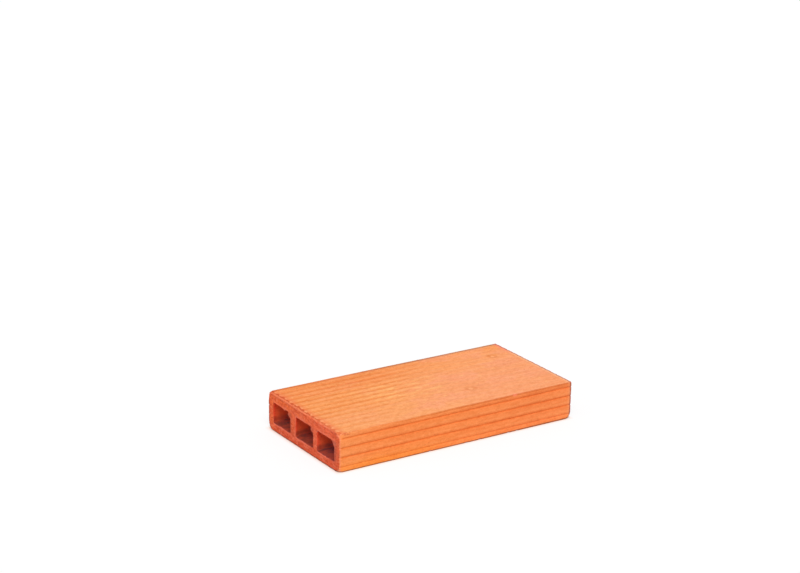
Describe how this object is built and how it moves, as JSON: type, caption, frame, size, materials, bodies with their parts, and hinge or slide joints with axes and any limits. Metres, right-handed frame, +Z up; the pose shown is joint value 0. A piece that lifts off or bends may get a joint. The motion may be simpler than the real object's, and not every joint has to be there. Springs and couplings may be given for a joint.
{
  "type": "hollow clay brick",
  "caption": "Flat extruded hollow clay partition brick with a row of rectangular cells running its length and fine keying grooves along all its long faces.",
  "frame": {"origin": "centre of the lower bed face, the face that the brick lies on", "axes": "+X along the length and the cells, +Y across the width, +Z up through the thickness, normal to the bed faces"},
  "size_m": [0.28, 0.135, 0.04],
  "materials": {
    "fired_clay": "matte"
  },
  "bodies": {
    "root": {"brick": "fired_clay"}
  },
  "joints": []
}
